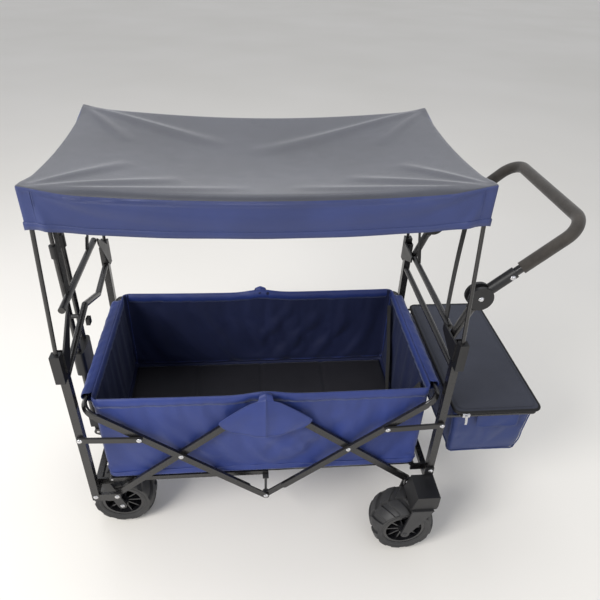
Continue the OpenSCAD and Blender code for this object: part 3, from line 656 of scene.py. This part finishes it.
def make_basket():
    around = loop_points(SX - BASKET_X, SX + BASKET_X, -BASKET_Y, BASKET_Y, 0.016, BASKET_STEP)
    m, nz = len(around), 30
    verts, uvs, loops = [], [], []
    for k in range(nz + 1):
        t = k / nz
        row = []
        for n, (x, y, _) in enumerate(around):
            hi = basket_top(x, y)
            z = hi + (BASKET_LOW - hi) * t
            u, v = (x - SX) / BASKET_X, y / BASKET_Y
            belly = math.sin(math.pi * t) * 0.005
            lean = 1.6 * abs(u) + (0.9 if v > 0 else 0)
            mid_height = math.sin(math.pi * t)
            fold = 0.0085 * math.sin(10 * abs(u) + 6 * t + lean) ** 3 * mid_height ** 0.7
            fold += 0.0034 * math.sin(23 * u - 12 * t + 3 * math.sin(4 * u)) * mid_height
            fold += 0.0080 * math.exp(-((u + 0.16 * math.sin(3 * t)) / 0.10) ** 2) * mid_height
            x2, y2 = x, y
            if abs(v) > 0.97:
                y2 = y - math.copysign(belly * (1 - u * u) + abs(fold) * (1 - u ** 4), y)
            elif abs(u) > 0.97:
                fold = 0.0016 * math.sin(8 * v + 6 * t) * mid_height
                x2 = x - math.copysign(belly * 0.3 * (1 - v * v) + abs(fold) * (1 - v ** 4), x - SX)
            row.append(len(verts))
            verts.append((x2, y2, z))
            uvs.append((n * BASKET_STEP, z))
        loops.append(row)
    for t in FLOOR_STEPS:
        row = []
        for x, y, _ in around:
            row.append(len(verts))
            verts.append((SX + (x - SX) * (1 - t), y * (1 - t), BASKET_LOW - 0.001))
            uvs.append((x, y + 3))
        loops.append(row)
    o = new_mesh("basket", verts, rings(loops), [BASKET, BASKET_PAINTED_SHADE], uvs)
    pins = [i for row in (loops[0], loops[1], *loops[nz - 1:]) for i in row]
    simulate(o, pins, 18, 0.006, growth=0.006, mass=0.25, bending=2.0, tension=25)
    co = positions(o)
    co[:, 1] = np.clip(co[:, 1], -BASKET_MOST[1], BASKET_MOST[1])
    co[:, 0] = np.clip(co[:, 0], SX - BASKET_MOST[0], SX + BASKET_MOST[0])
    set_positions(o, co)
    top = co[loops[0]]
    out = np.stack([np.where(np.abs(top[:, 0] - SX) > BASKET_X - 0.002, np.sign(top[:, 0] - SX), 0),
                    np.where(np.abs(top[:, 1]) > BASKET_Y - 0.002, np.sign(top[:, 1]), 0), np.zeros(m)], 1)
    out[np.abs(out).sum(1) == 0] = (1, 0, 0)
    # The hem: a doubled band folded over the top edge, sewn through
    strip = [co[loops[3]] + out * 0.0006, co[loops[2]] + out * 0.0011, top + out * 0.0009 + [0, 0, 0.0014],
             top - out * 0.002 + [0, 0, 0.0014], co[loops[2]] - out * 0.0026, co[loops[3]] - out * 0.0019]
    hem = band("basket_hem", strip, BASKET, BASKET_STEP, 0.006)
    line = (co[loops[2]] + co[loops[3]]) / 2
    sew_out = stitches("basket_hem_stitch_out", line + out * 0.0010, out, THREAD, closed=True)
    sew_in = stitches("basket_hem_stitch_in", line - out * 0.0024, -out, THREAD, closed=True)
    low = resample(co[loops[nz - 2]] + out * 0.0004, 0.008, True)[:-1]
    piping = tube_along("basket_floor_seam", low, 0.0018, BASKET, 6, True)
    ups = []
    for sx in (-1, 1):
        for sy in (-1, 1):
            n = int(np.argmin(np.abs(around[:, 0] - (SX + sx * (BASKET_X - 0.005)))
                              + np.abs(around[:, 1] - sy * (BASKET_Y - 0.005))))
            seam = co[[r[n] for r in loops[:nz]]] - np.array([sx, sy, 0]) * 0.0015
            name = ("f" if sx < 0 else "r") + ("l" if sy < 0 else "r")
            ups.append(tube_along(f"basket_corner_seam_{name}", seam, 0.0016, BASKET, 6))
    smoothed(o)
    # The inner side of the cloth takes the darker painted-shade material
    modify(o, "SOLIDIFY", thickness=0.0014, offset=-1.0, material_offset=1)
    apply_all(o)
    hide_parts("basket_fabric")
    squashed([o, hem, sew_out, sew_in, piping, *ups])
    end_sleeves()


def end_sleeves():
    """The cloth that wraps over the tube at each end of the basket."""
    for end, s in (("front", -1), ("rear", 1)):
        ny, verts, uvs, faces = 60, [], [], []
        c, r = (0.430, 0.518), 0.0118  # the tube's middle, and the cloth's own round over it
        prof = [(0.4118, 0.524), (0.4150, 0.5320)]
        prof += [(c[0] + r * math.cos(math.radians(a)), c[1] + r * math.sin(math.radians(a)))
                 for a in range(112, -101, -18)]
        prof += [(0.4210, 0.5040), (0.4130, 0.4990)]
        m = len(prof)
        for j in range(ny + 1):
            y = -0.196 + 0.392 * j / ny
            for k, (x, z) in enumerate(prof):
                w = 0.0009 * math.sin(j * 0.9 + k) * math.sin(j * 0.37)
                verts.append((SX + s * (x + (w if k > 2 else 0)), y, z + w))
                uvs.append((y, 0.006 * k))
        for j in range(ny):
            for k in range(m - 1):
                a, b = j * m + k, (j + 1) * m + k
                faces.append((a, a + 1, b + 1, b) if s < 0 else (a, b, b + 1, a + 1))
        o = new_mesh(f"basket_end_sleeve_{end}", verts, faces, BASKET, uvs)
        modify(o, "SOLIDIFY", thickness=0.0012, offset=0.0)
        apply_all(o)
        squashed([o])


def make_mat():
    """The padded floor mat, with sewn grooves across it where it folds."""
    nx, ny = 120, 64
    folds = (-0.2, 0.0, 0.2)
    hx, hy, top, low = 0.399, 0.211, 0.2611, 0.2550
    verts, faces, idx = [], [], {}
    for side in (1, 0):
        for j in range(ny + 1):
            for i in range(nx + 1):
                u, v = 2 * i / nx - 1, 2 * j / ny - 1
                x, y = hx * u, hy * v
                edge = min(1, (1 - max(abs(u), abs(v))) / 0.03)
                z = low
                if side:
                    groove = min(abs(x - c) for c in folds)
                    z = top - 0.0036 * math.exp(-(groove / 0.006) ** 2) - 0.004 * (1 - edge) ** 2
                    z -= 0.0007 * (1 + math.sin(31 * u + 5 * v)) * (0.5 + 0.5 * math.sin(13 * v - 4 * u))
                idx[side, i, j] = len(verts)
                verts.append((SX + x, y, z))
    for j in range(ny):
        for i in range(nx):
            faces.append((idx[1, i, j], idx[1, i + 1, j], idx[1, i + 1, j + 1], idx[1, i, j + 1]))
            faces.append((idx[0, i, j], idx[0, i, j + 1], idx[0, i + 1, j + 1], idx[0, i + 1, j]))
    rim = rim_of(nx, ny)
    for a, b in zip(rim, rim[1:] + rim[:1]):
        faces.append((idx[0, a[0], a[1]], idx[0, b[0], b[1]], idx[1, b[0], b[1]], idx[1, a[0], a[1]]))
    o = new_mesh("floor_mat_pad", verts, faces, MAT, [(v[0], v[1]) for v in verts])
    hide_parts("floor_mat")
    sews = []
    for n, c in enumerate(folds):
        line = np.array([(SX + c, y, 0.2576) for y in np.linspace(-0.205, 0.205, 60)])
        sews.append(stitches(f"floor_mat_stitch_{n}", line, (0, 0, 1), DARK_THREAD))
    squashed([o, *sews])


def flap_edges(t, u):
    """Half width of a hub cover at a share t down it, and its top and bottom at u across it."""
    half = 0.022 + 0.094 * min(1, t / 0.66) ** 0.85
    half -= 0.034 * max(0, (t - 0.66) / 0.34) ** 2
    return half, 0.533 + 0.005 * math.exp(-(u / 0.45) ** 2) - 0.004 * abs(u), 0.414 + 0.012 * abs(u) ** 2.2


def make_hub_flaps():
    """The fan-shaped covers over the middle of each long side, hung over the basket's edge."""
    for side, s in (("left", -1), ("right", 1)):
        nu, nv = 48, 26
        over = [(0.2265, 0.5300), (0.2285, 0.5405), (0.2345, 0.5445), (0.2405, 0.5400), (0.2436, 0.5290)]
        verts, uvs = [], []
        for k in range(len(over) + nv):
            for i in range(nu + 1):
                u = 2 * i / nu - 1
                peak = 0.003 * math.exp(-(u / 0.45) ** 2)
                if k < len(over):
                    y, z = over[k]
                    half = 0.012 + 0.0016 * k
                    z += peak - 0.004 * abs(u) ** 3
                else:
                    t = (k - len(over) + 1) / nv
                    half, top_z, low_z = flap_edges(t, u)
                    z = top_z + (low_z - top_z) * t
                    y = 0.2436 + 0.012 * (1 - abs(u) ** 0.8) * math.sin(math.pi * min(0.5, t * 1.1))
                    y += 0.0016 * math.sin(9 * u + 4 * t) * t + 0.0016 * math.exp(-(u / 0.045) ** 2)
                verts.append((SX + u * half, s * y, z))
                uvs.append((u * half, z))
        m = nu + 1
        faces = []
        for k in range(len(over) + nv - 1):
            for i in range(nu):
                a, b = k * m + i, (k + 1) * m + i
                faces.append((a, a + 1, b + 1, b) if s > 0 else (a, b, b + 1, a + 1))
        o = new_mesh(f"hub_cover_{side}", verts, faces, BASKET, uvs)
        co = positions(o)
        rows = [[k * m + i for i in range(m)] for k in range(len(over) + nv)]
        mid = co[[r[nu // 2] for r in rows[2:-1]]] + [0, s * 0.0012, 0]
        seam = stitches(f"hub_cover_seam_{side}", mid, (0, s, 0), THREAD)
        edge = [r[1] for r in rows[4:]] + rows[-2][1:-1] + [r[-2] for r in rows[:3:-1]]
        edge = co[edge] + [0, s * 0.0012, 0]
        border = stitches(f"hub_cover_stitch_{side}", edge, (0, s, 0), THREAD)
        modify(o, "SOLIDIFY", thickness=0.0016, offset=0.0)
        smoothed(o)
        apply_all(o)
        if side == "left":
            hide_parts("hub_flaps")
        squashed([o, seam, border])


# ---------- straps ----------

def make_straps():
    """The canopy's four stays, each with a doubled lower end, and the seat belts on the rear wall."""
    for end, body, sx, low, high in (
            ("front", "root", -1, (0.449, 0.100, 0.7605), (0.428, 0.169, 1.066)),
            ("rear", "rear_frame", 1, (0.449, 0.130, 0.6885), (0.428, 0.184, 1.066))):
        pieces = []
        for side, sy in (("left", -1), ("right", 1)):
            a = np.array([SX + sx * low[0], sy * low[1], low[2]])
            b = np.array([SX + sx * high[0], sy * high[1], high[2]])
            t = np.linspace(0, 1, 40)[:, None]
            pts = a + (b - a) * t + np.array([sx * -0.004, 0, 0]) * np.sin(math.pi * t)
            o = ribbon(f"canopy_strap_{end}_{side}", pts, (0, 1, 0), 0.022, 0.0018, WEB)
            nub = ribbon(f"canopy_strap_{end}_{side}_tip", pts[:5] + [sx * 0.0022, 0, 0], (0, 1, 0),
                         0.023, 0.0024, WEB)
            pieces += [o, nub]
        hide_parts(f"canopy_straps_{end}")
        for p in pieces:
            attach(p, body)
    for side, sy in (("left", -1), ("right", 1)):
        t = np.linspace(0, 1, 50)[:, None]
        a = np.array([SX + 0.4010, sy * 0.186, 0.498])
        b = np.array([SX + 0.3930, sy * 0.052, 0.266])
        pts = a + (b - a) * t + np.array([-0.0016, 0, 0]) * (0.5 + 0.5 * np.sin(9 * t))
        o = ribbon(f"seat_belt_{side}", pts, (0, 1, 0), 0.038, 0.0018, WEB)
        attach(o, "rear_frame")
    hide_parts("seat_belts")


# ---------- storage bag ----------

BAG_X, BAG_Y, BAG_TOP, BAG_LOW = (SX + 0.4855, SX + 0.6965), 0.2285, 0.4495, 0.2925
BAG_FRONT = SX + 0.4775  # the bag's cloth stays behind this, clear of the rear posts
BAG_STEP = 0.009
LID_X, LID_Y, LID_TOP = (SX + 0.4835, SX + 0.7115), 0.2395, 0.4624


def make_bag():
    (x0, x1), hy = BAG_X, BAG_Y
    around = loop_points(x0, x1, -hy, hy, 0.013, BAG_STEP)
    deep = BAG_TOP - BAG_LOW
    nz, verts, uvs, loops = 20, [], [], []
    cx = (x0 + x1) / 2
    for k in range(nz + 1):
        t = k / nz
        row = []
        for n, (x, y, _) in enumerate(around):
            u, v = (x - cx) / (x1 - cx), y / hy
            bulge = 0.006 * math.sin(math.pi * min(1, t * 1.05)) ** 0.8
            pull = 1 - 0.05 * t ** 3
            wr = 0.0022 * math.sin(7 * v + 9 * t + 2 * u) + 0.0016 * math.sin(17 * v - 6 * t + 5 * u)
            wr *= math.sin(math.pi * t)
            x2 = cx + (x - cx) * pull + ((bulge * 0.7 * (1 - v ** 4) + wr) if u > 0.9 else 0)
            if u < -0.9:
                x2 = x + 0.012 * t ** 2
            y2 = y * (1 - 0.02 * t ** 3)
            if abs(v) > 0.96:
                y2 += math.copysign(bulge * 0.5 * (1 - u ** 4) + wr, y)
            sag = -0.009 * t ** 2 * (1 - v * v) * (0.6 + 0.4 * u)
            row.append(len(verts))
            verts.append((x2, y2, BAG_TOP - deep * t + sag))
            uvs.append((n * BAG_STEP, t * deep))
        loops.append(row)
    base = np.array([verts[i] for i in loops[-1]])
    mid = base.mean(0)
    for t in FLOOR_STEPS:
        row = []
        for p in base + (mid - base) * t:
            p[2] -= 0.004 * math.sin(math.pi * min(1, t * 1.5) / 2)
            row.append(len(verts))
            verts.append(tuple(p))
            uvs.append((p[0], p[1] + 3))
        loops.append(row)
    o = new_mesh("bag", verts, rings(loops), BAG, uvs)
    simulate(o, loops[0] + loops[1], 18, 0.007, growth=0.006, mass=0.25, bending=2.5, tension=25)
    co = positions(o)
    co[:, 0] = np.maximum(co[:, 0], BAG_FRONT)
    set_positions(o, co)
    out_x = np.where(around[:, 0] > x1 - 0.004, 1.0, np.where(around[:, 0] < x0 + 0.004, -1.0, 0))
    out_y = np.where(np.abs(around[:, 1]) > hy - 0.004, np.sign(around[:, 1]), 0)
    d = np.stack([out_x, out_y, np.zeros(len(around))], 1)
    d[np.abs(d).sum(1) == 0] = (1, 0, 0)
    low = resample(co[loops[nz]] + d * 0.0005, 0.008, True)[:-1]
    low_seam = tube_along("bag_floor_seam", low, 0.002, BAG, 6, True)
    ups = []
    for name, sx, sy in (("fl", -1, -1), ("rl", 1, -1), ("fr", -1, 1), ("rr", 1, 1)):
        corner = (cx + sx * (x1 - cx - 0.006), sy * (hy - 0.006))
        n = int(np.argmin(np.abs(around[:, 0] - corner[0]) + np.abs(around[:, 1] - corner[1])))
        seam = co[[r[n] for r in loops[:nz + 1]]] + np.array([sx, sy, 0]) * 0.0006
        ups.append(tube_along(f"bag_corner_seam_{name}", seam, 0.0017, BAG, 6))
    sew = stitches("bag_top_stitch", co[loops[2]] + d * 0.0012, d, THREAD, closed=True)
    smoothed(o)
    modify(o, "SOLIDIFY", thickness=0.0014, offset=-1.0)
    apply_all(o)
    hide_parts("bag_body")
    for p in (o, low_seam, sew, *ups):
        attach(p, "rear_frame")


def make_bag_flap():
    """A short flap that hangs on the bag's near side, sewn round its free edges."""
    nu, nv, verts, uvs, faces = 26, 14, [], [], []
    for k in range(nv + 1):
        t = k / nv
        for i in range(nu + 1):
            u = 2 * i / nu - 1
            x = SX + 0.6025 + 0.0575 * u * (1 - 0.05 * t)
            z = 0.4485 - 0.046 * t * (1 - 0.07 * u ** 6)
            y = -(BAG_Y + 0.0072 + 0.0040 * t + 0.0012 * math.sin(5 * u + 4 * t) * t)
            verts.append((x, y, z))
            uvs.append((x, z))
    m = nu + 1
    for k in range(nv):
        faces += [(k * m + i, (k + 1) * m + i, (k + 1) * m + i + 1, k * m + i + 1) for i in range(nu)]
    o = new_mesh("bag_side_flap", verts, faces, BAG, uvs)
    co = positions(o)
    edge = co[[k * m + 1 for k in range(1, nv)] + [(nv - 1) * m + i for i in range(1, nu)]
              + [k * m + nu - 1 for k in range(nv - 1, 0, -1)]] - [0, 0.0011, 0]
    sew = stitches("bag_side_flap_stitch", edge, (0, -1, 0), THREAD)
    modify(o, "SOLIDIFY", thickness=0.0018, offset=0.0)
    smoothed(o)
    apply_all(o)
    for p in (o, sew):
        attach(p, "rear_frame")


def make_lid():
    """The padded lid: a closed panel with a bound edge and a row of stitches inside it."""
    (x0, x1), hy = LID_X, LID_Y
    around = loop_points(x0, x1, -hy, hy, 0.016, 0.008)
    cx = (x0 + x1) / 2
    verts, uvs, loops = [], [], []
    # Share of the half width, and height, of each loop, from underside to top
    levels = [(0.90, 0.4545), (0.985, 0.4545), (1.0, 0.4565), (1.0, 0.4590), (0.985, 0.4612),
              (0.955, 0.4619), (0.90, 0.4622), (0.80, LID_TOP), (0.66, LID_TOP), (0.50, LID_TOP),
              (0.34, LID_TOP), (0.20, LID_TOP)]
    for share, z in levels:
        inset = (1 - share) * (x1 - cx)
        on_top = z > 0.46
        row = []
        for x, y, _ in around:
            px = cx + (x - cx) * share
            py = y * (1 - inset / hy)
            wave = 0.0004 * math.sin(px * 34 + py * 11) * math.sin(py * 19 - px * 7)
            wave *= max(0, (share - 0.2) / 0.7) ** 2 if share < 0.96 and on_top else 0
            groove = 0.0016 if 0.94 < share < 0.97 and on_top else 0
            row.append(len(verts))
            verts.append((px, py, z + wave - groove))
            uvs.append((px, py))
        loops.append(row)
    faces = [f[::-1] for f in rings(loops) + strip_across(loops[0])]
    o = new_mesh("bag_lid_panel", verts, faces, LID, uvs)
    smoothed(o)
    apply_all(o)
    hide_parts("bag_lid")
    edge = np.array([(x, y, 0.4580) for x, y, _ in around])
    bind = tube_along("bag_lid_binding", resample(edge, 0.006, True)[:-1], 0.0040, TAPE, 10, True)
    inner = np.array([(cx + (x - cx) * 0.915, y * 0.958, 0.4622) for x, y, _ in around])
    sew = stitches("bag_lid_stitch", inner, (0, 0, 1), DARK_THREAD, closed=True)
    for p in (o, bind, sew):
        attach(p, "bag_lid")


def make_zip():
    """A tape round the bag's mouth, its teeth, and the slider with its pull tab."""
    (x0, x1), hy = LID_X, LID_Y
    cx = (x0 + x1) / 2
    ring = loop_points(x0 - 0.001, x1 - 0.001, -hy + 0.001, hy - 0.001, 0.016, 0.006)
    section = [(0.0, 0.4510), (0.0, 0.4528), (-0.011, 0.4528), (-0.011, 0.4510)]
    verts = [(cx + (x - cx) * (1 + off / (x1 - cx)), y * (1 + off / hy), z)
             for off, z in section for x, y, _ in ring]
    tape = new_mesh("zip_tape", verts, wrapped(len(section), len(ring)), TAPE)
    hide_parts("bag_zip")
    # The teeth run round three sides. The fourth is the lid's hinge.
    order = np.array(sorted(ring, key=lambda p: math.atan2(p[1], p[0] - x0 - 0.01)))
    teeth = resample(order[order[:, 0] > x0 + 0.02], 0.0042)
    verts, faces = [], []
    for a, b in zip(teeth, teeth[1:]):
        t = (b - a) / np.linalg.norm(b - a)
        out = np.array([t[1], -t[0], 0])
        k = len(verts)
        verts += [a + [0, 0, 0.4519 + h] + t * along + out * across for along in (-0.0012, 0.0012)
                  for across in (-0.0004, 0.0011) for h in (-0.0011, 0.0011)]
        faces += [(k, k + 2, k + 3, k + 1), (k + 4, k + 5, k + 7, k + 6), (k, k + 1, k + 5, k + 4),
                  (k + 2, k + 6, k + 7, k + 3), (k, k + 4, k + 6, k + 2), (k + 1, k + 3, k + 7, k + 5)]
    tooth = new_mesh("zip_teeth", verts, faces, PLASTIC, smooth=False)
    y = -hy - 0.0012
    slider = ribbon("zip_slider", [(SX + 0.500, y - 0.005, 0.4550), (SX + 0.509, y - 0.007, 0.4555),
                                   (SX + 0.518, y - 0.005, 0.4550)], (0, 0, 1), 0.010, 0.006, STEEL)
    tab = ribbon("zip_pull", [(SX + 0.508, y - 0.0110, 0.4580), (SX + 0.509, y - 0.0115, 0.4480),
                              (SX + 0.511, y - 0.0105, 0.4360), (SX + 0.512, y - 0.0090, 0.4260)],
                 (1, 0, 0), 0.007, 0.0018, STEEL)
    for p in (tape, tooth, slider, tab):
        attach(p, "rear_frame")


# ---------- wheels ----------

TREAD_BARS, TREAD_DEPTH = 11, 0.0062
WHEEL_R = 0.088


def tread_depth(a, w):
    """How deep the tread is cut at an angle a round the wheel and a place w across it, from -1 to 1."""
    phase = (a * TREAD_BARS / (2 * math.pi) + 0.62 * abs(w) + (0.5 if w > 0 else 0)) % 1
    bar = min(phase, 1 - phase)
    lug = 1 if bar > 0.21 else max(0, (bar - 0.17) / 0.04)
    middle = 1 if abs(w) > 0.05 else 0.35
    return TREAD_DEPTH * (1 - lug * middle) * (1 if abs(w) < 0.95 else 0.5)


def make_tyre(name, node, body, centre):
    """A tyre whose section turns once round the axle, with the tread cut into its outer part."""
    na, profile = 416, []
    for k in range(33):
        w = -1 + k / 16
        profile.append((0.0878 - 0.0105 * abs(w) ** 3.2, 0.0468 * w * (1 - 0.01 * abs(w)), w))
    side = [(0.0745, 0.0466), (0.0700, 0.0452), (0.0665, 0.0440), (0.0640, 0.0446), (0.0615, 0.0440),
            (0.0582, 0.0420)]
    section = [(r, -y, None) for r, y in reversed(side)] + profile + [(r, y, None) for r, y in side]
    section += [(0.0581, 0.030, None), (0.0581, -0.030, None)]
    verts = []
    for i in range(na):
        a = 2 * math.pi * i / na
        for r, y, w in section:
            rr = r - (tread_depth(a, w) if w is not None else 0)
            verts.append((centre[0] + rr * math.cos(a), centre[1] + y, centre[2] + rr * math.sin(a)))
    o = new_mesh(name, verts, wrapped(na, len(section)), RUBBER, smooth=False)
    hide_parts(node)
    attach(o, body)


def make_wheels():
    for side, s in (("left", -1), ("right", 1)):
        for end, x, y in (("front", -0.405, 0.137), ("rear", 0.381, 0.277)):
            make_tyre(f"{end}_tread_{side}", f"{end}_tyre_{side}", f"{end}_wheel_{side}",
                      (SX + x, s * y, WHEEL_R))


# ---------- floor and light ----------

def make_studio():
    m = Nodes("studio_floor")
    at = m.coords()
    m.put(Base_Color=m.ramp(m.noise(at, 0.6, 2.0), [(0.3, lin(228, 225, 219)), (0.7, lin(234, 231, 226))]))
    m.put(Roughness=0.65, Specular_IOR_Level=0.25)
    m.put(Emission_Color=(*lin(240, 238, 234), 1), Emission_Strength=0.03)
    far = 20
    corners = [(-far, -far, 0), (far, -far, 0), (far, far, 0), (-far, far, 0)]
    floor = new_mesh("studio_floor", corners, [(0, 1, 2, 3)], m.mat)
    world = bpy.data.worlds.new("studio")
    bpy.context.scene.world = world
    world.use_nodes = True
    back = world.node_tree.nodes["Background"]
    back.inputs["Color"].default_value = (*lin(236, 238, 242), 1)
    back.inputs["Strength"].default_value = 0.68
    bpy.context.scene.view_settings.view_transform = "Standard"
    area_light("key", (-2.3, -1.9, 2.5), (SX, 0, 0.5), (1.5, 1.2), 105, (1, 0.98, 0.95))
    area_light("top", (SX, 0.9, 3.2), (SX, 0, 0.9), (3.0, 2.0), 34, (0.97, 0.98, 1))
    area_light("front", (1.6, -3.0, 1.6), (SX, 0, 0.4), (2.0, 1.6), 14, (1, 1, 1))


make_studio()
make_canopy()
make_basket()
make_mat()
make_hub_flaps()
make_straps()
make_bag()
make_bag_flap()
make_lid()
make_zip()
make_wheels()
